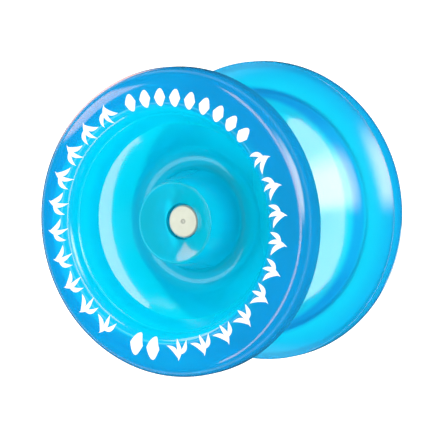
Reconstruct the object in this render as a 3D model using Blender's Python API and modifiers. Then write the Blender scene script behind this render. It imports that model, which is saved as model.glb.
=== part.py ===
"""Ball-bearing yo-yo of clear plastic.

Two flared halves are screwed together on one axle, which runs along Y. The front half is at -Y.
The string's loop runs round the ball bearing in the middle. Metres, +Z up, and the origin is the
centre of the bearing.

Turned shapes are drawn as outlines of (radius, height) points, where the height is measured from
the middle plane outwards along the axle.
"""

import math

import bmesh
import bpy
from mathutils import Matrix, Vector

MM = 0.001

# ---- overall size
DIAMETER = 56.0 * MM
WIDTH = 43.0 * MM

# ---- rim of a half, measured in from the outer radius and down from the face
CREST_INSET = 5.5 * MM
CREST_FLAT = 0.8 * MM
RIM_ROUND_DEPTH = 4.5 * MM
SIDE_WALL = 2.1 * MM
RIM_BACK_ROUND = 0.5 * MM
LIP_INSET = 8.3 * MM
LIP_DEPTH = 2.55 * MM
LIP_STEP = 0.2 * MM
LIP_ROUND_EXTRA = 0.5 * MM

# ---- cup of a half
CUP_FOOT_INSET = 10.3 * MM
CUP_FOOT_DEPTH = 6.6 * MM
FLOOR_HEIGHT = 9.6 * MM
FLOOR_ROUND = 4.2 * MM
WALL_LEAN = 1.0
HUB_TOP_RADIUS = 7.4 * MM
HUB_TOP_DEPTH = 3.1 * MM
HUB_FOOT_RADIUS = 9.2 * MM
HUB_FOOT_ROUND = 1.0 * MM
CRATER_DEPTH = 3.1 * MM

# ---- string side of a half, measured in from the outer radius and down from the rim's back edge
STRING_GAP = 4.5 * MM
WALL_ROUND = 1.6 * MM
WALL_END_INSET = 8.0 * MM
WALL_END_DEPTH = 5.7 * MM
SHOULDER_INSET = 5.2 * MM
SHOULDER_DEPTH = 3.3 * MM

# ---- response pads
PAD_WIDTH = 2.3 * MM
PAD_THICKNESS = 1.1 * MM
PAD_SINK = 0.05 * MM
GROOVE_WALL = 0.45 * MM
GROOVE_LAND = 2.4 * MM

# ---- bearing, size C
BEARING_DIAMETER = 12.7 * MM
BEARING_BORE = 6.35 * MM
BEARING_WIDTH = 4.76 * MM
BALL_DIAMETER = 1.588 * MM
BALL_COUNT = 10
STRING_GROOVE_DEPTH = 0.35 * MM
STRING_GROOVE_SHARE = 0.9
SHOULDER_SHARE = 0.35
RACE_SHIELD_STEP = 0.4 * MM
SHIELD_THICKNESS = 0.22 * MM
SHIELD_DEPTH = 0.28 * MM
SNAP_WIRE = 0.22 * MM
SNAP_OPENING_DEG = 24.0
CAGE_BAR = 0.28 * MM

# ---- axle, inserts and spacers
AXLE_DIAMETER = 4.0 * MM
AXLE_END_ROOM = 2.6 * MM
SOCKET_ACROSS_FLATS = 2.0 * MM
SOCKET_DEPTH = 1.8 * MM
INSERT_WALL = 0.9 * MM
INSERT_CAP = 1.85 * MM
INSERT_SINK = 0.35 * MM
INSERT_WAIST_DEPTH = 0.3 * MM
INSERT_COLLAR = 2.0 * MM
INSERT_CHAMFER = 0.25 * MM
SPACER_FLANGE_WIDTH = 1.2 * MM
SPACER_FLANGE_THICKNESS = 1.4 * MM

# ---- clearances
SEAT_GAP = 0.3 * MM
FLANGE_GAP = 0.1 * MM
RUNNING_GAP = 0.05 * MM
THREAD_GAP = 0.1 * MM
RACE_SIDE_GAP = 0.27 * MM

# ---- smoothness of the round pieces
HALF_STEPS = 40
BEARING_STEPS = 32
CORE_STEPS = 32
POCKET_STEPS = 12
TRACK_STEPS = 6
SNAP_RING_POINTS = 29

FRONT = -1
REAR = 1

# ---- places that several pieces share
FACE = WIDTH / 2
RIM_BACK = FACE - RIM_ROUND_DEPTH - SIDE_WALL
HUB_TOP = FACE - HUB_TOP_DEPTH
CRATER_FLOOR = HUB_TOP - CRATER_DEPTH
INSERT_OUTER_END = CRATER_FLOOR - INSERT_SINK
SPACER_INNER_FACE = BEARING_WIDTH / 2 + FLANGE_GAP
SPACER_OUTER_FACE = SPACER_INNER_FACE + SPACER_FLANGE_THICKNESS
INSERT_INNER_END = SPACER_OUTER_FACE + SEAT_GAP
INSERT_BORE_END = INSERT_OUTER_END - INSERT_CAP
AXLE_HALF_LENGTH = INSERT_BORE_END - AXLE_END_ROOM
AXLE_RADIUS = AXLE_DIAMETER / 2
INSERT_RADIUS = AXLE_RADIUS + THREAD_GAP + INSERT_WALL
HUB_HOLE_RADIUS = INSERT_RADIUS + SEAT_GAP
SPACER_POST_RADIUS = BEARING_BORE / 2 - RUNNING_GAP
SPACER_FLANGE_RADIUS = SPACER_POST_RADIUS + SPACER_FLANGE_WIDTH
BEARING_RECESS_RADIUS = BEARING_DIAMETER / 2 + SEAT_GAP
BEARING_RECESS_HEIGHT = BEARING_WIDTH / 2 + RACE_SIDE_GAP
GROOVE_INNER_RADIUS = BEARING_RECESS_RADIUS + GROOVE_WALL
GROOVE_OUTER_RADIUS = GROOVE_INNER_RADIUS + PAD_WIDTH + 2 * FLANGE_GAP
WALL_START_RADIUS = GROOVE_OUTER_RADIUS + GROOVE_LAND
PITCH_RADIUS = (BEARING_DIAMETER + BEARING_BORE) / 4
BALL_RADIUS = BALL_DIAMETER / 2


# ---- outlines

def ellipse_points(centre, radii, start_deg, end_deg, steps):
    """Points along part of an ellipse, from one angle to the other."""
    points = []
    for step in range(steps + 1):
        angle = math.radians(start_deg + (end_deg - start_deg) * step / steps)
        points.append((centre[0] + radii[0] * math.cos(angle),
                       centre[1] + radii[1] * math.sin(angle)))
    return points


def rounded_corner(before, corner, after, radius, steps):
    """The arc that rounds a corner between two straight runs. It leaves a fifth of each run."""
    corner = Vector(corner)
    into = corner - Vector(before)
    out = Vector(after) - corner
    longest_setback = 0.8 * min(into.length, out.length)
    into.normalize()
    out.normalize()
    half_turn = into.angle(out) / 2
    radius = min(radius, longest_setback / math.tan(half_turn))
    setback = radius * math.tan(half_turn)
    middle = (out - into).normalized()
    centre = corner + middle * (radius / math.cos(half_turn))
    first = (corner - into * setback - centre).normalized()
    last = (corner + out * setback - centre).normalized()
    points = []
    for step in range(steps + 1):
        point = centre + first.slerp(last, step / steps) * radius
        points.append((point.x, point.y))
    return points


def half_outline():
    """Outline of one half, from its hub's hole over the face and back along the string side."""
    rim = DIAMETER / 2
    crest = rim - CREST_INSET
    lip = (rim - LIP_INSET, FACE - LIP_DEPTH)
    cup_foot = (rim - CUP_FOOT_INSET, FACE - CUP_FOOT_DEPTH)
    hub_top = (HUB_TOP_RADIUS, HUB_TOP)
    hub_foot = (HUB_FOOT_RADIUS, FLOOR_HEIGHT)
    floor_corner = (cup_foot[0] - (cup_foot[1] - FLOOR_HEIGHT) * WALL_LEAN, FLOOR_HEIGHT)
    wall_start = (WALL_START_RADIUS, STRING_GAP / 2)
    wall_end = (rim - WALL_END_INSET, RIM_BACK - WALL_END_DEPTH)
    shoulder = (rim - SHOULDER_INSET, RIM_BACK - SHOULDER_DEPTH)
    back = (rim, RIM_BACK)

    outline = [(HUB_HOLE_RADIUS, CRATER_FLOOR), hub_top]
    outline += rounded_corner(hub_top, hub_foot, floor_corner, HUB_FOOT_ROUND, 3)
    outline += rounded_corner(hub_foot, floor_corner, cup_foot, FLOOR_ROUND, 5)
    outline += [cup_foot, (lip[0] - LIP_STEP, lip[1] - LIP_STEP)]
    inner_semi = LIP_INSET - CREST_INSET - CREST_FLAT / 2 + LIP_ROUND_EXTRA
    inner_rise = math.degrees(math.acos((crest - CREST_FLAT / 2 - lip[0]) / inner_semi))
    inner_axial = LIP_DEPTH / (1 - math.sin(math.radians(inner_rise)))
    outline += ellipse_points((crest - CREST_FLAT / 2, FACE - inner_axial),
                              (inner_semi, inner_axial), 180 - inner_rise, 90, 4)
    outline += ellipse_points((crest + CREST_FLAT / 2, FACE - RIM_ROUND_DEPTH),
                              (CREST_INSET - CREST_FLAT / 2, RIM_ROUND_DEPTH), 90, 0, 7)
    outline += rounded_corner((rim, FACE), back, shoulder, RIM_BACK_ROUND, 2)
    outline += [shoulder, wall_end]
    outline += rounded_corner(wall_end, wall_start, (0, STRING_GAP / 2), WALL_ROUND, 2)
    pocket = SPACER_FLANGE_RADIUS + FLANGE_GAP
    groove_floor = STRING_GAP / 2 + PAD_SINK + PAD_THICKNESS + FLANGE_GAP
    outline += [(GROOVE_OUTER_RADIUS, STRING_GAP / 2), (GROOVE_OUTER_RADIUS, groove_floor),
                (GROOVE_INNER_RADIUS, groove_floor), (GROOVE_INNER_RADIUS, STRING_GAP / 2),
                (BEARING_RECESS_RADIUS, STRING_GAP / 2),
                (BEARING_RECESS_RADIUS, BEARING_RECESS_HEIGHT), (pocket, BEARING_RECESS_HEIGHT),
                (pocket, SPACER_OUTER_FACE + FLANGE_GAP),
                (HUB_HOLE_RADIUS, SPACER_OUTER_FACE + FLANGE_GAP)]
    return outline


def pad_outline():
    """A plain rubber ring that lies in the groove beside the bearing."""
    inner = GROOVE_INNER_RADIUS + FLANGE_GAP
    outer = inner + PAD_WIDTH
    low = STRING_GAP / 2 + PAD_SINK
    high = low + PAD_THICKNESS
    return [(inner, high), (outer, high), (outer, low), (inner, low)]


def spacer_outline():
    """A stepped bush: a post in the inner race, and a flange between the race and the half."""
    bore = AXLE_RADIUS + THREAD_GAP + RUNNING_GAP
    tip = SEAT_GAP / 2
    return [(bore, SPACER_OUTER_FACE), (SPACER_FLANGE_RADIUS, SPACER_OUTER_FACE),
            (SPACER_FLANGE_RADIUS, SPACER_INNER_FACE), (SPACER_POST_RADIUS, SPACER_INNER_FACE),
            (SPACER_POST_RADIUS, tip), (bore, tip)]


def insert_outline():
    """A blind threaded insert with a waist that keys it in the plastic."""
    bore = AXLE_RADIUS + THREAD_GAP
    waist = INSERT_RADIUS - INSERT_WAIST_DEPTH
    top_collar = INSERT_OUTER_END - INSERT_COLLAR
    low_collar = INSERT_INNER_END + INSERT_COLLAR
    return [(0, INSERT_OUTER_END), (INSERT_RADIUS - INSERT_CHAMFER, INSERT_OUTER_END),
            (INSERT_RADIUS, INSERT_OUTER_END - INSERT_CHAMFER), (INSERT_RADIUS, top_collar),
            (waist, top_collar - INSERT_WAIST_DEPTH), (waist, low_collar + INSERT_WAIST_DEPTH),
            (INSERT_RADIUS, low_collar), (INSERT_RADIUS, INSERT_INNER_END),
            (bore, INSERT_INNER_END), (bore, INSERT_BORE_END), (0, INSERT_BORE_END)]


def inner_race_outline():
    """Inner race with the balls' track in its outer side."""
    bore = BEARING_BORE / 2
    end = BEARING_WIDTH / 2
    shoulder = PITCH_RADIUS - SHOULDER_SHARE * BALL_DIAMETER
    track = BALL_RADIUS + RUNNING_GAP
    half_angle = math.degrees(math.acos((PITCH_RADIUS - shoulder) / track))
    outline = [(bore, end), (shoulder, end)]
    outline += ellipse_points((PITCH_RADIUS, 0), (track, track),
                              180 - half_angle, 180 + half_angle, TRACK_STEPS)
    return outline + [(shoulder, -end), (bore, -end)]


def outer_race_outline():
    """Outer race: concave string groove outside, the balls' track and the shields' steps inside."""
    outer = BEARING_DIAMETER / 2
    end = BEARING_WIDTH / 2
    shoulder = PITCH_RADIUS + SHOULDER_SHARE * BALL_DIAMETER
    step = shoulder + RACE_SHIELD_STEP
    step_height = end - SHIELD_DEPTH - SHIELD_THICKNESS - RUNNING_GAP
    track = BALL_RADIUS + RUNNING_GAP
    half_angle = math.degrees(math.acos((shoulder - PITCH_RADIUS) / track))
    outline = [(step, end), (outer, end)]
    groove_edge = STRING_GROOVE_SHARE * end
    for part in range(TRACK_STEPS + 1):
        height = groove_edge - 2 * groove_edge * part / TRACK_STEPS
        share = 1 - (height / groove_edge) ** 2
        outline.append((outer - STRING_GROOVE_DEPTH * share, height))
    outline += [(outer, -end), (step, -end), (step, -step_height), (shoulder, -step_height)]
    outline += ellipse_points((PITCH_RADIUS, 0), (track, track), -half_angle, half_angle,
                              TRACK_STEPS)
    return outline + [(shoulder, step_height), (step, step_height)]


def shield_outline():
    """A flat ring that covers the balls. It is fixed to the outer race."""
    inner = PITCH_RADIUS - SHOULDER_SHARE * BALL_DIAMETER + 2 * RUNNING_GAP
    outer = PITCH_RADIUS + SHOULDER_SHARE * BALL_DIAMETER + RACE_SHIELD_STEP - RUNNING_GAP
    high = BEARING_WIDTH / 2 - SHIELD_DEPTH
    low = high - SHIELD_THICKNESS
    return [(inner, high), (outer, high), (outer, low), (inner, low)]


# ---- building

def clear_scene():
    for item in list(bpy.data.objects):
        bpy.data.objects.remove(item, do_unlink=True)


def new_collection(name):
    collection = bpy.data.collections.new(name)
    bpy.context.scene.collection.children.link(collection)
    return collection


def new_material(name, colour, roughness, metallic=0.0):
    material = bpy.data.materials.new(name)
    material.use_nodes = True
    shader = material.node_tree.nodes["Principled BSDF"]
    shader.inputs["Base Color"].default_value = (*colour, 1.0)
    shader.inputs["Roughness"].default_value = roughness
    shader.inputs["Metallic"].default_value = metallic
    return material


def add_object(name, data, collection, material):
    item = bpy.data.objects.new(name, data)
    collection.objects.link(item)
    data.materials.append(material)
    return item


def along_axle(side):
    """Rotation that lays a shape's +Z along the axle, towards the front or the rear."""
    return Matrix.Rotation(-side * math.pi / 2, 4, "X")


def turned(name, outline, steps, side, collection, material):
    """Turn a closed outline round the axle. Outlines run down their outer side."""
    start = math.pi / steps
    blank = bpy.data.meshes.new(name)
    corners = [(radius * math.cos(start), radius * math.sin(start), height)
               for radius, height in outline]
    edges = [(index, index + 1) for index in range(len(corners) - 1)]
    if outline[0][0] > 0:
        edges.append((len(corners) - 1, 0))
    blank.from_pydata(corners, edges, [])
    item = add_object(name, blank, collection, material)
    item.matrix_world = along_axle(side)
    screw = item.modifiers.new("Turn", "SCREW")
    screw.axis = "Z"
    screw.angle = 2 * math.pi
    screw.steps = steps
    screw.render_steps = steps
    screw.use_merge_vertices = True
    screw.merge_threshold = 0.000001
    screw.use_smooth_shade = True
    return item


def drilled(item, cutter):
    cutter.hide_render = True
    cutter.display_type = "WIRE"
    cut = item.modifiers.new("Cut", "BOOLEAN")
    cut.operation = "DIFFERENCE"
    cut.object = cutter


def prism(name, radius, length, sides, collection, material):
    """A bar of many sides along Z, centred on the origin."""
    data = bpy.data.meshes.new(name)
    shape = bmesh.new()
    bmesh.ops.create_cone(shape, cap_ends=True, segments=sides, radius1=radius,
                          radius2=radius, depth=length)
    shape.to_mesh(data)
    shape.free()
    return add_object(name, data, collection, material)


def make_axle(parts, cutters, material):
    """Headless screw with a hexagon socket in each end."""
    axle = prism("axle", AXLE_RADIUS, 2 * AXLE_HALF_LENGTH, CORE_STEPS, parts, material)
    axle.matrix_world = along_axle(FRONT)
    across_corners = SOCKET_ACROSS_FLATS / math.cos(math.pi / 6)
    for side, name in ((FRONT, "front_socket_cutter"), (REAR, "rear_socket_cutter")):
        socket = prism(name, across_corners / 2, 2 * SOCKET_DEPTH, 6, cutters, material)
        place = Matrix.Translation((0, side * AXLE_HALF_LENGTH, 0))
        socket.matrix_world = place @ along_axle(side)
        drilled(axle, socket)


def make_cage(parts, cutters, material):
    """Ring with a round pocket for each ball."""
    shoulder = SHOULDER_SHARE * BALL_DIAMETER - 2 * RUNNING_GAP
    inner = PITCH_RADIUS - shoulder
    outer = PITCH_RADIUS + shoulder
    half_width = BALL_RADIUS + CAGE_BAR
    ring = [(inner, half_width), (outer, half_width), (outer, -half_width), (inner, -half_width)]
    cage = turned("ball_cage", ring, BEARING_STEPS, REAR, parts, material)
    pockets = bmesh.new()
    for index in range(BALL_COUNT):
        outward = Matrix.Rotation(2 * math.pi * index / BALL_COUNT, 4, "Y")
        outward = outward @ Matrix.Translation((PITCH_RADIUS, 0, 0))
        outward = outward @ Matrix.Rotation(math.pi / 2, 4, "Y")
        bmesh.ops.create_cone(pockets, cap_ends=True, segments=POCKET_STEPS,
                              radius1=BALL_RADIUS + RUNNING_GAP,
                              radius2=BALL_RADIUS + RUNNING_GAP,
                              depth=BALL_DIAMETER, matrix=outward)
    data = bpy.data.meshes.new("pocket_cutter")
    pockets.to_mesh(data)
    pockets.free()
    drilled(cage, add_object("pocket_cutter", data, cutters, material))


def make_balls(parts, material):
    """Ten balls on the pitch circle, all from one mesh. Each has its origin at its centre."""
    ball = bmesh.new()
    bmesh.ops.create_icosphere(ball, subdivisions=2, radius=BALL_RADIUS)
    data = bpy.data.meshes.new("ball")
    ball.to_mesh(data)
    ball.free()
    data.shade_smooth()
    data.materials.append(material)
    for index in range(BALL_COUNT):
        item = bpy.data.objects.new(f"ball_{index + 1:02d}", data)
        turn = Matrix.Rotation(2 * math.pi * index / BALL_COUNT, 4, "Y")
        item.matrix_world = turn @ Matrix.Translation((PITCH_RADIUS, 0, 0))
        parts.objects.link(item)


def make_snap_ring(name, side, parts, material):
    """Round wire bent to an open ring, in the outer race outside its shield."""
    wire = SNAP_WIRE / 2
    step = PITCH_RADIUS + SHOULDER_SHARE * BALL_DIAMETER + RACE_SHIELD_STEP
    radius = step - RUNNING_GAP - wire
    curve = bpy.data.curves.new(name, "CURVE")
    curve.dimensions = "3D"
    curve.bevel_depth = wire
    curve.bevel_resolution = 1
    curve.use_fill_caps = True
    spline = curve.splines.new("POLY")
    spline.points.add(SNAP_RING_POINTS - 1)
    for index in range(SNAP_RING_POINTS):
        share = index / (SNAP_RING_POINTS - 1)
        angle = math.radians(SNAP_OPENING_DEG / 2 + (360 - SNAP_OPENING_DEG) * share)
        spline.points[index].co = (radius * math.cos(angle), radius * math.sin(angle), 0, 1)
    item = add_object(name, curve, parts, material)
    height = BEARING_WIDTH / 2 - SHIELD_DEPTH + RUNNING_GAP + wire
    item.matrix_world = Matrix.Translation((0, side * height, 0)) @ along_axle(side)


def main():
    clear_scene()
    parts = new_collection("Ball-bearing yo-yo")
    cutters = new_collection("Cutters")

    plastic = new_material("clear_cyan_plastic", (0.0, 0.57, 0.87), 0.06)
    steel = new_material("bearing_steel", (0.62, 0.62, 0.60), 0.2, 1.0)
    dark_steel = new_material("axle_steel", (0.30, 0.29, 0.28), 0.35, 1.0)
    nickel = new_material("satin_nickel", (0.72, 0.70, 0.66), 0.3, 1.0)
    aluminium = new_material("aluminium", (0.78, 0.79, 0.80), 0.35, 1.0)
    nylon = new_material("cage_nylon", (0.75, 0.73, 0.66), 0.5)
    silicone = new_material("silicone", (0.86, 0.88, 0.90), 0.55)

    for side, word in ((FRONT, "front"), (REAR, "rear")):
        turned(f"{word}_half", half_outline(), HALF_STEPS, side, parts, plastic)
        turned(f"{word}_insert", insert_outline(), CORE_STEPS, side, parts, nickel)
        turned(f"{word}_spacer", spacer_outline(), CORE_STEPS, side, parts, aluminium)
        turned(f"{word}_response_pad", pad_outline(), HALF_STEPS, side, parts, silicone)
        turned(f"{word}_shield", shield_outline(), BEARING_STEPS, side, parts, steel)
        make_snap_ring(f"{word}_snap_ring", side, parts, dark_steel)
    turned("inner_race", inner_race_outline(), BEARING_STEPS, REAR, parts, steel)
    turned("outer_race", outer_race_outline(), BEARING_STEPS, REAR, parts, steel)
    make_axle(parts, cutters, dark_steel)
    make_cage(parts, cutters, nylon)
    make_balls(parts, steel)


main()
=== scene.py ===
import math

import bpy
from mathutils import Matrix, Vector


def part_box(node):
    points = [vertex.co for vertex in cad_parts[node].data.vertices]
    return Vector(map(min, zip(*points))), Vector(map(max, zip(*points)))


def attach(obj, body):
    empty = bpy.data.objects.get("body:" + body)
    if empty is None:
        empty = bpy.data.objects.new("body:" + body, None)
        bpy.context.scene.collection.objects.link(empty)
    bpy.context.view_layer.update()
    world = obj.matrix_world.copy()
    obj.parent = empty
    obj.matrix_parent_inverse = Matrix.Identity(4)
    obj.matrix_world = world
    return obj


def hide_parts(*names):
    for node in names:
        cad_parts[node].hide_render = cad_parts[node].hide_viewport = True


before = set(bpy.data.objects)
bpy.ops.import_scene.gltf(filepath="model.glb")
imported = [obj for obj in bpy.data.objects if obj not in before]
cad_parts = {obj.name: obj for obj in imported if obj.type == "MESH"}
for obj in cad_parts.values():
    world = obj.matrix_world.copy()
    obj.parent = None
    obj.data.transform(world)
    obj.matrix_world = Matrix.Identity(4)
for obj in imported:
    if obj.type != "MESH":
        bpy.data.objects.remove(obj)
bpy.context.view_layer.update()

# Ball-bearing yo-yo of clear cyan plastic. The axle runs along Y, and the front half is at -Y.
# Outlines are lists of (radius, height) in millimetres. The height is measured from the middle
# plane outwards along the axle. Places are in metres.

MM = 0.001
FRONT = -1
REAR = 1

# ---- main sizes, read from the frame
front_low, front_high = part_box("front_half")
FACE = -front_low.y / MM
STRING_WALL = -front_high.y / MM
RACE_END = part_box("outer_race")[1].y / MM

# ---- moulded halves
RIM = 28.0
RIM_BACK = FACE - 6.6
RIM_BACK_ROUND = 0.5
RIM_SWELL = 0.12
CREST = RIM - 5.5
CREST_FLAT = 0.4
CREST_FALL = 4.5
LIP = (RIM - 8.3, FACE - 2.55)
LIP_STEP = 0.2
LIP_ROUND = 0.08
LIP_OVERREACH = 0.3
CUP_FOOT = (RIM - 10.3, FACE - 6.6)
CUP_FOOT_ROUND = 0.3
FLOOR_HEIGHT = 9.6
FLOOR_CORNER = (CUP_FOOT[0] - (CUP_FOOT[1] - FLOOR_HEIGHT), FLOOR_HEIGHT)
FLOOR_ROUND = 4.2
HUB_TOP = (7.4, FACE - 3.1)
HUB_TOP_ROUND = 0.35
HUB_FOOT = (9.2, FLOOR_HEIGHT)
HUB_FOOT_ROUND = 1.0
HUB_HOLE = 3.3
CRATER_HEIGHT = FACE - 6.2
WALL_START = (12.0, STRING_WALL)
WALL_START_ROUND = 1.6
WALL_END = (RIM - 8.0, 9.2)
WALL_END_ROUND = 0.3
SHOULDER = (RIM - 5.2, 11.6)

# ---- bearing, size C
BEARING_RADIUS = 6.35
BORE_RADIUS = 3.175
BALL_RADIUS = 0.794
BALL_COUNT = 10
TRACK_RADIUS = BALL_RADIUS + 0.05
PITCH_RADIUS = (BEARING_RADIUS + BORE_RADIUS) / 2
RACE_LAND = 0.7 * BALL_RADIUS
RACE_ROUND = 0.12
RACE_GAP = 0.1
BORE_CHAMFER = 0.15
LAND_CHAMFER = 0.1
STRING_GROOVE = 0.35
STRING_GROOVE_END = 0.9 * RACE_END
SHIELD_SEAT = PITCH_RADIUS + RACE_LAND + 0.4
SHIELD_TOP = RACE_END - 0.28
SHIELD_LOW = SHIELD_TOP - 0.22
SHIELD_DISH = 0.07
SEAT_CHAMFER = 0.08
SEAT_GAP = 0.05
SNAP_WIRE = 0.11
SNAP_OPENING = math.radians(24)
CAGE_WALL = 0.28
CAGE_ROUND = 0.08
RECESS_RADIUS = BEARING_RADIUS + 0.3
RECESS_HEIGHT = RACE_END + 0.27

# ---- silicone pads
PAD_GROOVE = (7.1, 9.6)
PAD_GROOVE_HEIGHT = STRING_WALL + 1.25
PAD_SIDE_GAP = 0.1
PAD_BACKSET = 0.05
PAD_THICKNESS = 1.1
PAD_STRING_ROUND = 0.3
PAD_BACK_ROUND = 0.15

# ---- core
AXLE_RADIUS = 2.0
AXLE_END = 10.5
AXLE_CHAMFER = 0.4
THREAD_PITCH = 0.7
THREAD_DEPTH = 0.35
THREAD_FLAT = 0.09
THREAD_MARGIN = 0.5
SOCKET_CORNER = 2.0 / math.sqrt(3)
SOCKET_DEPTH = 1.8
INSERT_RADIUS = 3.0
INSERT_TOP = CRATER_HEIGHT - 0.35
INSERT_LOW = RACE_END + 1.8
INSERT_BORE_END = INSERT_TOP - 1.85
THREAD_PLAY = 0.1
COLLAR = 2.0
WAIST = 0.3
SPACER_FLANGE = (4.325, RACE_END + 0.1, RACE_END + 1.5)
SPACER_END = 0.15
SPACER_CHAMFER = 0.15
SPACER_LEAD = 0.2
FLANGE_GAP = 0.1
AXLE_PLAY = 0.15
POST_PLAY = 0.05

# ---- printed ring
PRINT_RADIUS = 22.7
PRINT_STANDOFF = 2.0
INK_THICKNESS = 0.04
INK_OFFSET = 0.6

# ---- smoothness
HALF_STEPS = 192
BEARING_STEPS = 96
CORE_STEPS = 64
GROOVE_STEPS = 12
BALL_CUTS = 11
POCKET_SIDES = 32
WIRE_SIDES = 16
MERGE_DISTANCE = 0.002 * MM


# ======== outlines ========

def ellipse_points(centre, radii, start_deg, end_deg, steps):
    """Points along part of an ellipse, from one angle to the other."""
    points = []
    for step in range(steps + 1):
        angle = math.radians(start_deg + (end_deg - start_deg) * step / steps)
        points.append((centre[0] + radii[0] * math.cos(angle),
                       centre[1] + radii[1] * math.sin(angle)))
    return points


def rounded_corner(before, corner, after, radius, steps):
    """The arc that rounds a corner between two straight runs."""
    corner = Vector(corner)
    into = (corner - Vector(before)).normalized()
    out = (Vector(after) - corner).normalized()
    half_turn = into.angle(out) / 2
    setback = radius * math.tan(half_turn)
    middle = (out - into).normalized()
    centre = corner + middle * (radius / math.cos(half_turn))
    first = (corner - into * setback - centre).normalized()
    last = (corner + out * setback - centre).normalized()
    points = []
    for step in range(steps + 1):
        point = centre + first.slerp(last, step / steps) * radius
        points.append((point.x, point.y))
    return points


def rounded_outline(corners, radii, steps=4):
    """A closed outline whose corners are rounded, each by its own radius. Zero keeps it sharp."""
    outline = []
    for index, corner in enumerate(corners):
        if radii[index] == 0:
            outline.append(corner)
            continue
        before = corners[index - 1]
        after = corners[(index + 1) % len(corners)]
        outline += rounded_corner(before, corner, after, radii[index], steps)
    return outline


def swelling(start, end, rise, steps):
    """Points between two places, on a curve that stands proud of the straight line between them."""
    start, end = Vector(start), Vector(end)
    along = end - start
    proud = Vector((-along.y, along.x)).normalized() * rise
    points = []
    for step in range(1, steps + 1):
        share = step / steps
        point = start + along * share + proud * (4 * share * (1 - share))
        points.append((point.x, point.y))
    return points


def half_outline():
    """One moulded half, from its hub's hole over the face and back along the string side."""
    crater = (HUB_HOLE, CRATER_HEIGHT)
    under_lip = (LIP[0] - LIP_STEP, LIP[1] - LIP_STEP)
    outline = [crater]
    outline += rounded_corner(crater, HUB_TOP, HUB_FOOT, HUB_TOP_ROUND, steps=6)
    outline += rounded_corner(HUB_TOP, HUB_FOOT, FLOOR_CORNER, HUB_FOOT_ROUND, steps=8)
    outline += rounded_corner(HUB_FOOT, FLOOR_CORNER, CUP_FOOT, FLOOR_ROUND, steps=20)
    outline += rounded_corner(FLOOR_CORNER, CUP_FOOT, LIP, CUP_FOOT_ROUND, steps=4)
    outline += rounded_corner(CUP_FOOT, under_lip, LIP, LIP_ROUND, steps=2)
    # The crest is two parts of ellipses. The inner one would reach a little past the lip, and so
    # it leaves the lip at a slope.
    inner_width = LIP_STEP + LIP_OVERREACH + CREST - CREST_FLAT - LIP[0]
    rise = math.acos((CREST - CREST_FLAT - LIP[0]) / inner_width)
    inner_fall = (FACE - LIP[1]) / (1 - math.sin(rise))
    outline += ellipse_points((CREST - CREST_FLAT, FACE - inner_fall), (inner_width, inner_fall),
                              180 - math.degrees(rise), 90, steps=16)
    outline += ellipse_points((CREST + CREST_FLAT, FACE - CREST_FALL),
                              (RIM - CREST - CREST_FLAT, CREST_FALL), 90, 0, steps=28)
    outline += rounded_corner((RIM, FACE), (RIM, RIM_BACK), SHOULDER, RIM_BACK_ROUND, steps=8)
    outline += swelling(outline[-1], SHOULDER, RIM_SWELL, steps=12)
    outline += rounded_corner(SHOULDER, WALL_END, WALL_START, WALL_END_ROUND, steps=4)
    outline += rounded_corner(WALL_END, WALL_START, (0, STRING_WALL), WALL_START_ROUND, steps=8)
    inner, outer = PAD_GROOVE
    flange = SPACER_FLANGE[0] + FLANGE_GAP
    pocket = SPACER_FLANGE[2] + FLANGE_GAP
    return outline + [
        (outer, STRING_WALL), (outer, PAD_GROOVE_HEIGHT), (inner, PAD_GROOVE_HEIGHT),
        (inner, STRING_WALL), (RECESS_RADIUS, STRING_WALL), (RECESS_RADIUS, RECESS_HEIGHT),
        (flange, RECESS_HEIGHT), (flange, pocket), (HUB_HOLE, pocket)]


def outer_race_outline():
    """Outer race: concave string groove outside, the balls' track and the shields' seats inside."""
    land = PITCH_RADIUS + RACE_LAND
    track_half = math.degrees(math.acos(RACE_LAND / TRACK_RADIUS))
    seat_height = SHIELD_LOW - SEAT_GAP
    outline = [(SHIELD_SEAT, RACE_END - SEAT_CHAMFER), (SHIELD_SEAT + SEAT_CHAMFER, RACE_END)]
    outline += rounded_corner((SHIELD_SEAT, RACE_END), (BEARING_RADIUS, RACE_END),
                              (BEARING_RADIUS, STRING_GROOVE_END), RACE_ROUND, steps=4)
    for step in range(2 * GROOVE_STEPS + 1):
        height = STRING_GROOVE_END * (1 - step / GROOVE_STEPS)
        share = 1 - (height / STRING_GROOVE_END) ** 2
        outline.append((BEARING_RADIUS - STRING_GROOVE * share, height))
    outline += rounded_corner((BEARING_RADIUS, -STRING_GROOVE_END), (BEARING_RADIUS, -RACE_END),
                              (SHIELD_SEAT, -RACE_END), RACE_ROUND, steps=4)
    outline += [(SHIELD_SEAT + SEAT_CHAMFER, -RACE_END), (SHIELD_SEAT, -RACE_END + SEAT_CHAMFER),
                (SHIELD_SEAT, -seat_height), (land, -seat_height)]
    outline += ellipse_points((PITCH_RADIUS, 0), (TRACK_RADIUS, TRACK_RADIUS),
                              -track_half, track_half, steps=16)
    return outline + [(land, seat_height), (SHIELD_SEAT, seat_height)]


def inner_race_outline():
    """Inner race with the balls' track in its outer side."""
    land = PITCH_RADIUS - RACE_LAND
    track_half = math.degrees(math.acos(RACE_LAND / TRACK_RADIUS))
    one_end = [(BORE_RADIUS, RACE_END - BORE_CHAMFER), (BORE_RADIUS + BORE_CHAMFER, RACE_END),
               (land - LAND_CHAMFER, RACE_END), (land, RACE_END - LAND_CHAMFER)]
    track = ellipse_points((PITCH_RADIUS, 0), (TRACK_RADIUS, TRACK_RADIUS),
                           180 - track_half, 180 + track_half, steps=16)
    return one_end + track + [(radius, -height) for radius, height in reversed(one_end)]


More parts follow.
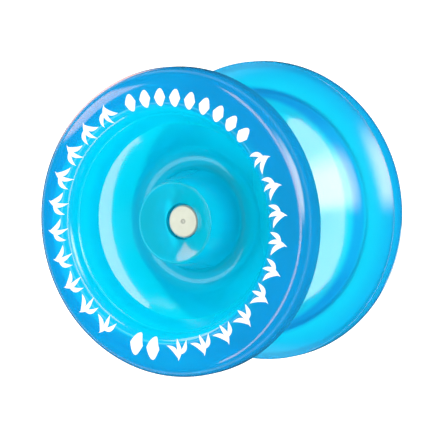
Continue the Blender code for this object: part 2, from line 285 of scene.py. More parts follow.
def shield_outline():
    """Pressed steel ring: a flat outer edge, then a step down to the inner part."""
    inner = PITCH_RADIUS - RACE_LAND + RACE_GAP
    outer = SHIELD_SEAT - SEAT_GAP
    dish = SHIELD_TOP - SHIELD_DISH
    flat_back = SHIELD_TOP - (SHIELD_TOP - SHIELD_LOW - SHIELD_DISH)
    step_foot, step_head = 4.8, 4.92
    back_foot, back_head = 4.9, 5.02
    sharp, tight, soft = 0.0, 0.03, 0.05
    return rounded_outline(
        [(inner, dish), (step_foot, dish), (step_head, SHIELD_TOP), (outer, SHIELD_TOP),
         (outer, flat_back), (back_head, flat_back), (back_foot, SHIELD_LOW),
         (inner, SHIELD_LOW)],
        [tight, soft, soft, soft, sharp, tight, tight, tight], steps=2)


def pad_outline():
    """A plain silicone ring with soft edges, in the groove beside the bearing."""
    inner = PAD_GROOVE[0] + PAD_SIDE_GAP
    outer = PAD_GROOVE[1] - PAD_SIDE_GAP
    low = STRING_WALL + PAD_BACKSET
    high = low + PAD_THICKNESS
    return rounded_outline([(inner, high), (outer, high), (outer, low), (inner, low)],
                           [PAD_BACK_ROUND, PAD_BACK_ROUND, PAD_STRING_ROUND, PAD_STRING_ROUND])


def spacer_outline():
    """Stepped bush: a post in the inner race, and a flange between the race and the half."""
    bore = AXLE_RADIUS + AXLE_PLAY
    post = BORE_RADIUS - POST_PLAY
    flange, low, high = SPACER_FLANGE
    return [(bore + SPACER_CHAMFER, high), (flange - SPACER_CHAMFER, high),
            (flange, high - SPACER_CHAMFER), (flange, low + LAND_CHAMFER),
            (flange - LAND_CHAMFER, low), (post, low), (post, SPACER_END + SPACER_LEAD),
            (post - SPACER_LEAD, SPACER_END), (bore, SPACER_END), (bore, high - SPACER_CHAMFER)]


def insert_outline():
    """Blind threaded insert, keyed in the plastic by its waist, with a small centre mark."""
    bore = AXLE_RADIUS + THREAD_PLAY
    side = INSERT_RADIUS
    top = INSERT_TOP
    top_collar = INSERT_TOP - COLLAR
    low_collar = INSERT_LOW + COLLAR
    mark = [(0, top - 0.12), (0.35, top - 0.02), (0.5, top)]
    flat = [(0.6, top), (side - 0.4, top)]
    edge = [(side - 0.3, top), (side - 0.08, top - 0.1), (side, top - 0.3)]
    waist = [(side, top_collar), (side - WAIST, top_collar - WAIST),
             (side - WAIST, low_collar + WAIST), (side, low_collar)]
    foot = [(side, INSERT_LOW + 0.15), (side - 0.15, INSERT_LOW)]
    drilled = [(bore + 0.25, INSERT_LOW), (bore, INSERT_LOW + 0.25), (bore, INSERT_BORE_END),
               (0, INSERT_BORE_END - 0.3)]
    return mark + flat + edge + waist + foot + drilled


def axle_outline():
    """Rod with chamfered ends and thread rings at the pitch of an M4 screw."""
    outline = [(0, AXLE_END), (AXLE_RADIUS - AXLE_CHAMFER, AXLE_END)]
    root_radius = AXLE_RADIUS - THREAD_DEPTH
    turns = int(2 * (AXLE_END - THREAD_MARGIN) / THREAD_PITCH)
    top = turns * THREAD_PITCH / 2
    for turn in range(turns):
        crest = top - turn * THREAD_PITCH
        root = crest - THREAD_PITCH / 2
        outline += [(AXLE_RADIUS, crest), (AXLE_RADIUS, crest - THREAD_FLAT),
                    (root_radius, root), (root_radius, root - THREAD_FLAT)]
    return outline + [(AXLE_RADIUS, -top), (AXLE_RADIUS - AXLE_CHAMFER, -AXLE_END),
                      (0, -AXLE_END)]


# ======== modelling ========

def deselect_all():
    if bpy.context.object and bpy.context.object.mode != "OBJECT":
        bpy.ops.object.mode_set(mode="OBJECT")
    bpy.ops.object.select_all(action="DESELECT")


def apply_modifiers(piece):
    bpy.context.view_layer.objects.active = piece
    for modifier in list(piece.modifiers):
        bpy.ops.object.modifier_apply(modifier=modifier.name)


def select_vertices(piece, chosen):
    """Enter edit mode with only the chosen vertices selected."""
    bpy.context.view_layer.objects.active = piece
    bpy.ops.object.mode_set(mode="EDIT")
    bpy.ops.mesh.select_mode(type="VERT")
    bpy.ops.mesh.select_all(action="DESELECT")
    bpy.ops.object.mode_set(mode="OBJECT")
    for vertex, wanted in zip(piece.data.vertices, chosen):
        vertex.select = wanted
    bpy.ops.object.mode_set(mode="EDIT")


def settle(piece):
    """Put the piece's place into its mesh, so that its object is at the origin, unturned."""
    deselect_all()
    piece.select_set(True)
    bpy.context.view_layer.objects.active = piece
    bpy.ops.object.transform_apply(location=True, rotation=True, scale=True)


def smooth(piece, angle_deg=35):
    deselect_all()
    piece.select_set(True)
    bpy.context.view_layer.objects.active = piece
    bpy.ops.object.shade_smooth_by_angle(angle=math.radians(angle_deg))


def turned(name, outline, side, steps, smooth_deg=35):
    """Spin an outline round the axle, as on a lathe. The outline closes unless it ends on it."""
    places = [Vector((radius * MM, side * height * MM, 0)) for radius, height in outline]
    if min(radius for radius, height in outline) > 0:
        places.append(places[0].copy())
    deselect_all()
    bpy.ops.mesh.primitive_plane_add(size=MM, location=places[0])
    piece = bpy.context.object
    piece.name = name
    bpy.ops.object.transform_apply(location=True, rotation=True, scale=True)
    bpy.ops.object.mode_set(mode="EDIT")
    bpy.ops.mesh.select_all(action="SELECT")
    bpy.ops.mesh.merge(type="CENTER")
    for before, after in zip(places, places[1:]):
        step = after - before
        bpy.ops.mesh.extrude_vertices_move(TRANSFORM_OT_translate={"value": step})
    bpy.ops.mesh.select_all(action="SELECT")
    bpy.ops.mesh.spin(steps=steps, angle=2 * math.pi, center=(0, 0, 0), axis=(0, 1, 0))
    bpy.ops.mesh.select_all(action="SELECT")
    bpy.ops.mesh.remove_doubles(threshold=MERGE_DISTANCE)
    bpy.ops.mesh.normals_make_consistent(inside=False)
    bpy.ops.object.mode_set(mode="OBJECT")
    smooth(piece, smooth_deg)
    return piece


def cut_away(piece, cutter):
    """Subtract the cutter from the piece, and remove the cutter."""
    cut = piece.modifiers.new("Cut", "BOOLEAN")
    cut.operation = "DIFFERENCE"
    cut.solver = "EXACT"
    cut.object = cutter
    deselect_all()
    piece.select_set(True)
    apply_modifiers(piece)
    bpy.data.objects.remove(cutter)


def joined(items, name):
    deselect_all()
    for item in items:
        item.select_set(True)
    bpy.context.view_layer.objects.active = items[0]
    bpy.ops.object.join()
    items[0].name = name
    return items[0]


def copied(piece, name, matrix):
    """A copy with its own mesh, put where the matrix takes it."""
    twin = piece.copy()
    twin.data = piece.data.copy()
    twin.name = name
    bpy.context.collection.objects.link(twin)
    twin.matrix_world = matrix
    settle(twin)
    return twin


def finish_piece(piece, material, body, node):
    """Give the piece its finish, hang it on the body it rides on, and hide the node it stands for.
    """
    piece.data.materials.clear()
    piece.data.materials.append(material)
    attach(piece, body)
    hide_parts(node)


def model_axle():
    """Headless screw with a hexagon socket in each end."""
    axle = turned("socket_axle", axle_outline(), REAR, CORE_STEPS)
    for side in (FRONT, REAR):
        deselect_all()
        bpy.ops.mesh.primitive_cylinder_add(
            vertices=6, radius=SOCKET_CORNER * MM, depth=2 * SOCKET_DEPTH * MM,
            location=(0, side * AXLE_END * MM, 0), rotation=(math.pi / 2, 0, 0))
        cut_away(axle, bpy.context.object)
    smooth(axle)
    return axle


def model_cage():
    """Ribbon cage with a round pocket for each ball."""
    inner = PITCH_RADIUS - RACE_LAND + RACE_GAP
    outer = PITCH_RADIUS + RACE_LAND - RACE_GAP
    half_width = BALL_RADIUS + CAGE_WALL
    corners = [(inner, half_width), (outer, half_width),
               (outer, -half_width), (inner, -half_width)]
    ring = rounded_outline(corners, [CAGE_ROUND] * 4, steps=3)
    cage = turned("ribbon_cage", ring, REAR, BEARING_STEPS)
    for index in range(BALL_COUNT):
        angle = 2 * math.pi * index / BALL_COUNT
        deselect_all()
        bpy.ops.mesh.primitive_cylinder_add(
            vertices=POCKET_SIDES, radius=TRACK_RADIUS * MM, depth=2 * BALL_RADIUS * MM,
            location=(PITCH_RADIUS * MM * math.cos(angle), 0,
                      -PITCH_RADIUS * MM * math.sin(angle)),
            rotation=(0, angle + math.pi / 2, 0))
        cut_away(cage, bpy.context.object)
    smooth(cage)
    return cage


def model_ball():
    """A ball with even faces: a cube, subdivided and cast to a sphere."""
    deselect_all()
    bpy.ops.mesh.primitive_cube_add(size=2 * BALL_RADIUS * MM)
    ball = bpy.context.object
    bpy.ops.object.mode_set(mode="EDIT")
    bpy.ops.mesh.select_all(action="SELECT")
    bpy.ops.mesh.subdivide(number_cuts=BALL_CUTS)
    bpy.ops.object.mode_set(mode="OBJECT")
    cast = ball.modifiers.new("Round", "CAST")
    cast.cast_type = "SPHERE"
    cast.factor = 1.0
    cast.use_radius_as_size = False
    cast.size = BALL_RADIUS * MM
    apply_modifiers(ball)
    smooth(ball, angle_deg=60)
    return ball


def model_snap_ring(name, side):
    """Round spring wire bent to an open ring, in the outer race outside its shield."""
    radius = SHIELD_SEAT - SEAT_GAP - SNAP_WIRE
    height = side * (SHIELD_TOP + SEAT_GAP + SNAP_WIRE)
    start = SNAP_OPENING / 2
    deselect_all()
    bpy.ops.mesh.primitive_circle_add(
        vertices=WIRE_SIDES, radius=SNAP_WIRE * MM, fill_type="NOTHING",
        location=(radius * MM, height * MM, 0))
    wire = bpy.context.object
    wire.name = name
    bpy.ops.object.transform_apply(location=True, rotation=True, scale=True)
    wire.matrix_world = Matrix.Rotation(-start, 4, "Y")
    settle(wire)
    bpy.ops.object.mode_set(mode="EDIT")
    bpy.ops.mesh.select_all(action="SELECT")
    bpy.ops.mesh.spin(steps=BEARING_STEPS, angle=2 * math.pi - SNAP_OPENING,
                      center=(0, 0, 0), axis=(0, -1, 0))
    bpy.ops.mesh.select_all(action="DESELECT")
    bpy.ops.mesh.select_non_manifold()
    bpy.ops.mesh.fill_holes(sides=0)
    bpy.ops.mesh.select_all(action="SELECT")
    bpy.ops.mesh.normals_make_consistent(inside=False)
    bpy.ops.object.mode_set(mode="OBJECT")
    smooth(wire, angle_deg=50)
    return wire


# ======== materials ========

# The Mix node's sockets for colours.
FIRST_COLOUR = 6
SECOND_COLOUR = 7
MIXED_COLOUR = 2

# Measures on the moulded halves, in millimetres: where the painted shade of the thick rim starts,
# and where the painted shade band on the step on the string side starts and ends.
THICK_RIM_SHADE_RADII = (18.5, 24.0)
THICK_RIM_SHADE_HEIGHTS = (11.0, 17.0)
STEP_SHADE_PLACE = (22.4 * MM, 11.2 * MM, 0)
STEP_SHADE_REACH = (0.5, 1.7)
MOULD_RIPPLE = 6


def linear(hex_code):
    """Linear colour of an sRGB hex value."""
    channels = [int(hex_code[index:index + 2], 16) / 255 for index in (0, 2, 4)]
    return [value / 12.92 if value <= 0.04045 else ((value + 0.055) / 1.055) ** 2.4
            for value in channels] + [1.0]


def add_node(tree, kind, settings=None, values=None, links=None):
    """Add a node, with its settings, its sockets' values and what feeds its sockets."""
    node = tree.nodes.new(kind)
    for key, value in (settings or {}).items():
        setattr(node, key, value)
    for key, value in (values or {}).items():
        node.inputs[key].default_value = value
    for key, source in (links or {}).items():
        tree.links.new(source, node.inputs[key])
    return node


def new_material(name):
    material = bpy.data.materials.new(name)
    material.use_nodes = True
    material.node_tree.nodes.clear()
    return material


def axle_places(tree):
    """The place on the piece, its distance from the axle, and its height along the axle."""
    place = add_node(tree, "ShaderNodeTexCoord").outputs["Object"]
    axes = add_node(tree, "ShaderNodeSeparateXYZ", links={"Vector": place})
    across = add_node(tree, "ShaderNodeCombineXYZ",
                      links={"X": axes.outputs["X"], "Z": axes.outputs["Z"]})
    radius = add_node(tree, "ShaderNodeVectorMath", {"operation": "LENGTH"},
                      links={0: across.outputs["Vector"]}).outputs["Value"]
    height = add_node(tree, "ShaderNodeMath", {"operation": "ABSOLUTE"},
                      links={0: axes.outputs["Y"]}).outputs["Value"]
    return place, radius, height


def ramp(tree, source, start_mm, end_mm):
    """Nought to one, smoothly, between two measures in millimetres."""
    return add_node(tree, "ShaderNodeMapRange", {"interpolation_type": "SMOOTHSTEP"},
                    values={"From Min": start_mm * MM, "From Max": end_mm * MM},
                    links={"Value": source}).outputs["Result"]


def blend_colours(tree, share, first, second_hex):
    """Colour that runs from the first to the second. The first is a hex value or a socket."""
    values = {SECOND_COLOUR: linear(second_hex)}
    links = {"Factor": share}
    if isinstance(first, str):
        values[FIRST_COLOUR] = linear(first)
    else:
        links[FIRST_COLOUR] = first
    mix = add_node(tree, "ShaderNodeMix", {"data_type": "RGBA"}, values, links)
    return mix.outputs[MIXED_COLOUR]


def clear_plastic():
    """Polycarbonate, injection moulded and polished, tinted cyan.

    Light passes through it, slightly clouded, under a sharp gloss. A deeper blue is painted on the
    thick rim as painted shade, and a darker band of painted shade lies on the step on the string
    side; the cup keeps its own lighter cyan. A faint waviness is left by the mould.
    """
    material = new_material("moulded_cyan_polycarbonate")
    tree = material.node_tree
    place, radius, height = axle_places(tree)
    # Painted shade: where the thick rim is painted a deeper blue, ramped in by radius and height.
    thick_rim_shade = add_node(tree, "ShaderNodeMath", {"operation": "MULTIPLY"},
                     links={0: ramp(tree, radius, *THICK_RIM_SHADE_RADII),
                            1: ramp(tree, height, *THICK_RIM_SHADE_HEIGHTS)}).outputs["Value"]
    # Painted shade: where the darker band at the step lies, by its distance from the step's corner.
    section = add_node(tree, "ShaderNodeCombineXYZ", links={"X": radius, "Y": height})
    from_shaded_step = add_node(tree, "ShaderNodeVectorMath", {"operation": "DISTANCE"},
                         values={1: STEP_SHADE_PLACE},
                         links={0: section.outputs["Vector"]}).outputs["Value"]
    # Painted shade: the darker 00AEEC band at the step on the string side; 00E4F9 is the cup's own
    # cyan.
    thin = blend_colours(tree, ramp(tree, from_shaded_step, *STEP_SHADE_REACH), "00AEEC", "00E4F9")
    # Painted shade: the deeper 00B2F0 blue laid on the thick rim.
    colour = blend_colours(tree, thick_rim_shade, thin, "00B2F0")
    ripple = add_node(tree, "ShaderNodeTexNoise",
                      values={"Scale": 1 / (MOULD_RIPPLE * MM), "Detail": 2.0},
                      links={"Vector": place})
    bump = add_node(tree, "ShaderNodeBump", values={"Strength": 0.05, "Distance": 0.1 * MM},
                    links={"Height": ripple.outputs["Fac"]})
    shader = add_node(tree, "ShaderNodeBsdfPrincipled", values={
        "Roughness": 0.12, "IOR": 1.585, "Transmission Weight": 0.55,
        "Coat Weight": 0.6, "Coat Roughness": 0.02, "Coat IOR": 1.5},
        links={"Base Color": colour, "Normal": bump.outputs["Normal"]})
    depth = add_node(tree, "ShaderNodeVolumeAbsorption",
                     values={"Color": (0.0, 0.86, 0.985, 1.0), "Density": 70.0})
    add_node(tree, "ShaderNodeOutputMaterial",
             links={"Surface": shader.outputs["BSDF"], "Volume": depth.outputs["Volume"]})
    return material


def turned_metal(name, light_hex, dark_hex, roughness, line_mm, relief, metallic=1.0):
    """Metal with rings round the axle, as a lathe or a grinder leaves them, and slight clouding."""
    material = new_material(name)
    tree = material.node_tree
    place, radius, height = axle_places(tree)
    along = add_node(tree, "ShaderNodeCombineXYZ", links={"X": radius, "Y": height})
    lines = add_node(tree, "ShaderNodeTexNoise",
                     values={"Scale": 1 / (line_mm * MM), "Detail": 3.0},
                     links={"Vector": along.outputs["Vector"]}).outputs["Fac"]
    cloud = add_node(tree, "ShaderNodeTexNoise", values={"Scale": 1 / (2 * MM), "Detail": 4.0},
                     links={"Vector": place}).outputs["Fac"]
    rough = add_node(tree, "ShaderNodeMapRange",
                     values={"To Min": roughness * 0.7, "To Max": roughness * 1.3},
                     links={"Value": lines}).outputs["Result"]
    bump = add_node(tree, "ShaderNodeBump", values={"Strength": relief, "Distance": 0.01 * MM},
                    links={"Height": lines})
    shader = add_node(tree, "ShaderNodeBsdfPrincipled", values={"Metallic": metallic}, links={
        "Base Color": blend_colours(tree, cloud, light_hex, dark_hex), "Roughness": rough,
        "Normal": bump.outputs["Normal"]})
    add_node(tree, "ShaderNodeOutputMaterial", links={"Surface": shader.outputs["BSDF"]})
    return material


def soft_moulded(name, light_hex, dark_hex, roughness, grain_mm, relief, glow):
    """Moulded matt material that light enters a little, with a fine grain and slight clouding."""
    material = new_material(name)
    tree = material.node_tree
    place = add_node(tree, "ShaderNodeTexCoord").outputs["Object"]
    grain = add_node(tree, "ShaderNodeTexNoise",
                     values={"Scale": 1 / (grain_mm * MM), "Detail": 4.0},
                     links={"Vector": place}).outputs["Fac"]
    cloud = add_node(tree, "ShaderNodeTexNoise", values={"Scale": 1 / (3 * MM), "Detail": 3.0},
                     links={"Vector": place}).outputs["Fac"]
    bump = add_node(tree, "ShaderNodeBump", values={"Strength": relief, "Distance": 0.02 * MM},
                    links={"Height": grain})
    rough = add_node(tree, "ShaderNodeMapRange",
                     values={"To Min": roughness * 0.85, "To Max": roughness * 1.15},
                     links={"Value": grain}).outputs["Result"]
    shader = add_node(tree, "ShaderNodeBsdfPrincipled", values={
        "Subsurface Weight": glow, "Subsurface Scale": 0.4 * MM},
        links={"Base Color": blend_colours(tree, cloud, light_hex, dark_hex),
               "Roughness": rough, "Normal": bump.outputs["Normal"]})
    add_node(tree, "ShaderNodeOutputMaterial", links={"Surface": shader.outputs["BSDF"]})
    return material


# ======== printed ring ========

STROKE_ROWS = 12
STROKE_TIP = 0.04
SAME_ROW = 0.01 * MM


def stroke(name, length, width, bow, columns):
    """A slim pointed stroke of ink, drawn flat along Z, facing -Y, with its middle on the axle."""
    deselect_all()
    bpy.ops.mesh.primitive_grid_add(x_subdivisions=columns, y_subdivisions=STROKE_ROWS, size=1,
                                    rotation=(math.pi / 2, 0, 0))
    mark = bpy.context.object
    mark.name = name
    mark.scale = (width * MM, length * MM, 1)
    settle(mark)
    rows = sorted({round(vertex.co.z, 7) for vertex in mark.data.vertices})
    for row in rows:
        share = row / rows[-1]
        select_vertices(mark, [abs(vertex.co.z - row) < SAME_ROW for vertex in mark.data.vertices])
        bpy.ops.transform.resize(value=(max(STROKE_TIP, 1 - share * share), 1, 1))
        bpy.ops.transform.translate(value=(bow * MM * share * share, 0, 0))
        bpy.ops.object.mode_set(mode="OBJECT")
    return mark


def printed_ring(shell):
    """Plain white marks round the front face, laid on the moulding as a thin film of ink."""
    strokes = []
    for lean_deg, slide, length in ((-38, -0.9, 3.3), (0, 0.1, 3.9), (38, 1.1, 3.1)):
        part = stroke("sprig_stroke", length, width=0.85, bow=0.6, columns=4)
        part.matrix_world = (Matrix.Translation((0, 0, slide * MM))
                             @ Matrix.Rotation(math.radians(90 + lean_deg), 4, "Y"))
        settle(part)
        strokes.append(part)
    sprig = joined(strokes, "sprig")
    lozenge = stroke("lozenge", length=2.2, width=3.2, bow=0.0, columns=12)
    tall_lozenge = stroke("tall_lozenge", length=2.6, width=4.2, bow=0.0, columns=16)
    outwards = Matrix.Translation((PRINT_RADIUS * MM, -(FACE + PRINT_STANDOFF) * MM, 0))
    marks = []
    for template, count, first_deg, step_deg in (
            (sprig, 10, 32.1, -12.78), (sprig, 10, 122.6, 12.67),
            (lozenge, 9, 108.4, -7.8), (tall_lozenge, 2, -105.2, 8.7)):
        for index in range(count):
            turn = Matrix.Rotation(-math.radians(first_deg + step_deg * index), 4, "Y")
            marks.append(copied(template, "mark", turn @ outwards))
    for template in (sprig, lozenge, tall_lozenge):
        bpy.data.objects.remove(template)
    ink = joined(marks, "printed_ring")
    wrap = ink.modifiers.new("Lay", "SHRINKWRAP")
    wrap.target = shell
    wrap.wrap_method = "PROJECT"
    wrap.use_project_y = True
    wrap.use_positive_direction = True
    wrap.use_negative_direction = False
    wrap.offset = 0.0
    film = ink.modifiers.new("Film", "SOLIDIFY")
    film.thickness = INK_THICKNESS * MM
    film.offset = INK_OFFSET
    apply_modifiers(ink)
    smooth(ink, angle_deg=40)
    return ink


# ======== pieces ========

plastic = clear_plastic()
bearing_steel = turned_metal("ground_bearing_steel", "D4D5D6", "BFC1C2", roughness=0.22,
                             line_mm=0.12, relief=0.15, metallic=0.8)
ball_steel = turned_metal("polished_ball_steel", "C4C4C2", "B4B4B4", roughness=0.07,
                          line_mm=0.6, relief=0.0)
shield_steel = turned_metal("pressed_stainless_steel", "C8C8C6", "B0B0AF", roughness=0.3,
                            line_mm=0.15, relief=0.3, metallic=0.8)
spring_steel = turned_metal("drawn_spring_steel", "7C7A76", "625F5C", roughness=0.32,
                            line_mm=0.1, relief=0.2)
black_steel = turned_metal("black_oxide_steel", "6A6866", "55524F", roughness=0.38,
                           line_mm=0.2, relief=0.2, metallic=0.8)
nickel = turned_metal("blasted_nickel_plate", "F2F5E8", "E0E3D4", roughness=0.25,
                      line_mm=0.25, relief=0.3, metallic=0.65)
aluminium = turned_metal("turned_aluminium", "E2E4E6", "CDD0D2", roughness=0.3,
                         line_mm=0.15, relief=0.35, metallic=0.8)
nylon = soft_moulded("moulded_cage_nylon", "E2DCC6", "CFC7AC", roughness=0.5,
                     grain_mm=0.15, relief=0.2, glow=0.15)
silicone = soft_moulded("cast_silicone", "DDE4E8", "C6CFD5", roughness=0.55,
                        grain_mm=0.25, relief=0.3, glow=0.4)
ink_white = soft_moulded("pad_printed_ink", "F4F5FC", "E9EBF5", roughness=0.45,
                         grain_mm=0.3, relief=0.15, glow=0.0)

for side, word in ((FRONT, "front"), (REAR, "rear")):
    assembly = f"{word}_assembly"
    spacer_body = "front_assembly" if side == FRONT else "rear_spacer_body"
    shell = turned(f"{word}_moulded_half", half_outline(), side, HALF_STEPS)
    finish_piece(shell, plastic, assembly, f"{word}_half")
    if side == FRONT:
        ink = printed_ring(shell)
        ink.data.materials.clear()
        ink.data.materials.append(ink_white)
        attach(ink, "front_assembly")
    insert = turned(f"{word}_threaded_insert", insert_outline(), side, CORE_STEPS, smooth_deg=20)
    finish_piece(insert, nickel, assembly, f"{word}_insert")
    pad = turned(f"{word}_silicone_pad", pad_outline(), side, BEARING_STEPS, smooth_deg=60)
    finish_piece(pad, silicone, assembly, f"{word}_response_pad")
    spacer = turned(f"{word}_stepped_spacer", spacer_outline(), side, CORE_STEPS)
    finish_piece(spacer, aluminium, spacer_body, f"{word}_spacer")
    shield = turned(f"{word}_bearing_shield", shield_outline(), side, BEARING_STEPS)
    finish_piece(shield, shield_steel, "bearing_outer", f"{word}_shield")
    ring = model_snap_ring(f"{word}_open_ring", side)
    finish_piece(ring, spring_steel, "bearing_outer", f"{word}_snap_ring")

outer = turned("grooved_outer_race", outer_race_outline(), REAR, BEARING_STEPS)
finish_piece(outer, bearing_steel, "bearing_outer", "outer_race")
inner = turned("tracked_inner_race", inner_race_outline(), REAR, BEARING_STEPS)
finish_piece(inner, bearing_steel, "front_assembly", "inner_race")
finish_piece(model_axle(), black_steel, "front_assembly", "axle")
finish_piece(model_cage(), nylon, "bearing_cage", "ball_cage")
ball = model_ball()
for index in range(BALL_COUNT):
    turn = Matrix.Rotation(2 * math.pi * index / BALL_COUNT, 4, "Y")
    place = turn @ Matrix.Translation((PITCH_RADIUS * MM, 0, 0))
    twin = copied(ball, f"steel_ball_{index + 1:02d}", place)
    node = f"ball_{index + 1:02d}"
    finish_piece(twin, ball_steel, f"{node}_body", node)
bpy.data.objects.remove(ball)


# ======== stage ========

LIGHT_LEVEL = 1.5
REFLECTED_LEVEL = 0.015
WHITE = "FFFFFF"
IVORY = "FFFFF4"
PEACH = "FFB488"
PALE_PEACH = "FFD8B0"
FAR_AWAY = 0.6
CLOSE = 0.09
CLOSER = 0.059
CARD_COLUMNS = 8
HOOP_SIDES = 96

FLOOR_SIZE = 4.0
FLOOR_GAP = 0.0001

# The camera's direction from the object, in degrees, and the place it looks at, to the right of
# the origin and below it as the camera sees it.
CAMERA_AZIMUTH = 28.6
CAMERA_ELEVATION = 4.46
CAMERA_DISTANCE = 0.696
CAMERA_LENS = 304.0
AIM_RIGHT = 0.24 * MM
AIM_BELOW = 1.49 * MM


def less_in_reflections(tree, full):
    """Strength that glossy reflections see at a lower level, as with dark cards in a studio."""
    path = add_node(tree, "ShaderNodeLightPath")
    reflected = add_node(tree, "ShaderNodeMath", {"operation": "SUBTRACT", "use_clamp": True},
                         links={0: path.outputs["Is Glossy Ray"],
                                1: path.outputs["Is Transmission Ray"]})
    return add_node(tree, "ShaderNodeMapRange",
                    values={"To Min": full, "To Max": full * REFLECTED_LEVEL},
                    links={"Value": reflected.outputs["Value"]}).outputs["Result"]


def add_floor():
    deselect_all()
    bpy.ops.mesh.primitive_plane_add(size=FLOOR_SIZE, location=(0, 0, -RIM * MM - FLOOR_GAP))
    floor = bpy.context.object
    floor.name = "studio_floor"
    material = new_material("lit_white_acrylic_floor")
    tree = material.node_tree
    glow = add_node(tree, "ShaderNodeEmission",
                    values={"Color": linear(WHITE), "Strength": LIGHT_LEVEL})
    add_node(tree, "ShaderNodeOutputMaterial", links={"Surface": glow.outputs["Emission"]})
    floor.data.materials.append(material)
    floor.visible_glossy = False


def add_world():
    world = bpy.data.worlds.new("white_studio")
    bpy.context.scene.world = world
    world.use_nodes = True
    tree = world.node_tree
    tree.nodes.clear()
    sky = add_node(tree, "ShaderNodeBackground", values={"Color": linear(WHITE)},
                   links={"Strength": less_in_reflections(tree, LIGHT_LEVEL)})
    add_node(tree, "ShaderNodeOutputWorld", links={"Surface": sky.outputs["Background"]})
    world.cycles.sampling_method = "NONE"
    view = bpy.context.scene.view_settings
    view.view_transform = "Standard"
    view.look = "None"


def light_up(material, level, strength, colour):
    """A glow that other light passes through, at a level from nought to one."""
    tree = material.node_tree
    power = add_node(tree, "ShaderNodeMath", {"operation": "MULTIPLY"},
                     values={1: strength}, links={0: level})
    glow = add_node(tree, "ShaderNodeEmission", values={"Color": linear(colour)},
                    links={"Strength": power.outputs["Value"]})
    clear = add_node(tree, "ShaderNodeBsdfTransparent")
    both = add_node(tree, "ShaderNodeAddShader",
                    links={0: glow.outputs["Emission"], 1: clear.outputs["BSDF"]})
    add_node(tree, "ShaderNodeOutputMaterial", links={"Surface": both.outputs["Shader"]})


def seen_only_as_shine(card):
    """Keep the card out of sight, and out of the light that the pieces get, but for its shine."""
    card.visible_camera = False
    card.visible_transmission = False
    card.visible_diffuse = False
    card.visible_shadow = False


def add_card(name, rows, strength, soft_edge, distance=FAR_AWAY, colour=PEACH):
    """A glowing card bent round the object, seen only as a shine on what it faces.

    Each row gives an elevation, and the azimuths of the card's two ends, in degrees. Azimuth is
    from -Y towards +X. The soft edge is the share of the card over which it fades out. The
    distance from the origin is in metres.
    """
    deselect_all()
    last_row = len(rows) - 1
    bpy.ops.mesh.primitive_grid_add(x_subdivisions=CARD_COLUMNS, y_subdivisions=last_row, size=2)
    card = bpy.context.object
    card.name = name
    for vertex in card.data.vertices:
        row = rows[round((vertex.co.y + 1) / 2 * last_row)]
        elevation, first, last = [math.radians(value) for value in row]
        azimuth = first + (last - first) * (vertex.co.x + 1) / 2
        vertex.co = distance * Vector((math.sin(azimuth) * math.cos(elevation),
                                       -math.cos(azimuth) * math.cos(elevation),
                                       math.sin(elevation)))
    material = new_material(name)
    tree = material.node_tree
    share = add_node(tree, "ShaderNodeTexCoord").outputs["UV"]
    axes = add_node(tree, "ShaderNodeSeparateXYZ", links={"Vector": share})
    level = None
    for axis in ("X", "Y"):
        from_edge = add_node(tree, "ShaderNodeMath", {"operation": "PINGPONG"},
                             values={1: 0.5}, links={0: axes.outputs[axis]})
        fade = add_node(tree, "ShaderNodeMapRange", {"interpolation_type": "SMOOTHSTEP"},
                        values={"From Max": soft_edge, "To Max": 1.0},
                        links={"Value": from_edge.outputs["Value"]}).outputs["Result"]
        level = fade if level is None else add_node(
            tree, "ShaderNodeMath", {"operation": "MULTIPLY"},
            links={0: level, 1: fade}).outputs["Value"]
    light_up(material, level, strength, colour)
    card.data.materials.append(material)
    seen_only_as_shine(card)


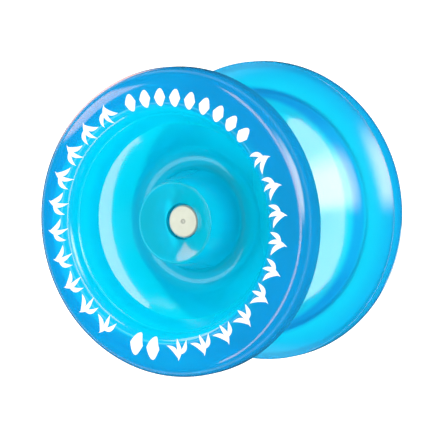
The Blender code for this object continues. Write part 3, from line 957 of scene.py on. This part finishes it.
def add_ring_card(radius, half_width_mm, strength):
    """A faint glowing hoop round the middle plane. It lights the bearing's steel in the gap."""
    deselect_all()
    bpy.ops.mesh.primitive_cylinder_add(
        vertices=HOOP_SIDES, radius=radius, depth=2 * half_width_mm * MM, end_fill_type="NOTHING",
        rotation=(math.pi / 2, 0, 0))
    hoop = bpy.context.object
    hoop.name = "ring_card"
    settle(hoop)
    material = new_material("ring_card")
    tree = material.node_tree
    height = axle_places(tree)[2]
    fade = ramp(tree, height, half_width_mm, 0.0)
    light_up(material, fade, strength, WHITE)
    hoop.data.materials.append(material)
    seen_only_as_shine(hoop)


def add_camera():
    azimuth = math.radians(CAMERA_AZIMUTH)
    elevation = math.radians(CAMERA_ELEVATION)
    out = Vector((math.sin(azimuth) * math.cos(elevation),
                  -math.cos(azimuth) * math.cos(elevation), math.sin(elevation)))
    right = Vector((math.cos(azimuth), math.sin(azimuth), 0))
    up = out.cross(right)
    aim = right * AIM_RIGHT - up * AIM_BELOW
    deselect_all()
    bpy.ops.object.camera_add(location=aim + out * CAMERA_DISTANCE)
    camera = bpy.context.object
    camera.rotation_euler = (-out).to_track_quat("-Z", "Y").to_euler()
    camera.data.lens = CAMERA_LENS
    camera.data.sensor_width = 36.0
    camera.data.clip_start = 0.01
    bpy.context.scene.camera = camera


add_floor()
add_world()
# A tall strip that both crescents come from.
add_card("tall_card",
         [(-84, -75, 22), (-76, -20, 40), (-70, 32, 48), (-60, 39.5, 54), (-48, 45.5, 58),
          (-36, 50.5, 60.5), (-24, 53, 62), (-12, 54.6, 63), (0, 54.6, 63), (12, 53.4, 62),
          (24, 50.8, 60.5), (36, 46, 58), (48, 37.5, 53), (57, 29, 49), (63, 16, 44),
          (69, 7, 36), (76, -20, 30)],
         strength=4.6, soft_edge=0.03)
add_card("far_rim_card", [(-4, 58, 68), (10, 55, 76), (26, 52, 79), (50, 50, 68)],
         strength=7.0, soft_edge=0.35, distance=CLOSE, colour=PALE_PEACH)
add_card("crater_card", [(18, -82, -46), (31, -78, -40), (44, -72, -34)],
         strength=3.4, soft_edge=0.15, distance=CLOSE)
add_card("upper_left_card", [(4, -146, -114), (38, -142, -108)], strength=2.8, soft_edge=0.3)
# One card for each insert's end, which lies deep in its hub.
add_card("front_insert_card", [(-11, -30, -14), (5, -30, -14)],
         strength=1.1, soft_edge=0.1, distance=CLOSER, colour=IVORY)
add_card("rear_insert_card", [(-25, 147, 163), (-5, 147, 163)],
         strength=1.1, soft_edge=0.1, distance=CLOSER, colour=IVORY)
add_ring_card(radius=0.08, half_width_mm=14, strength=0.5)
add_camera()
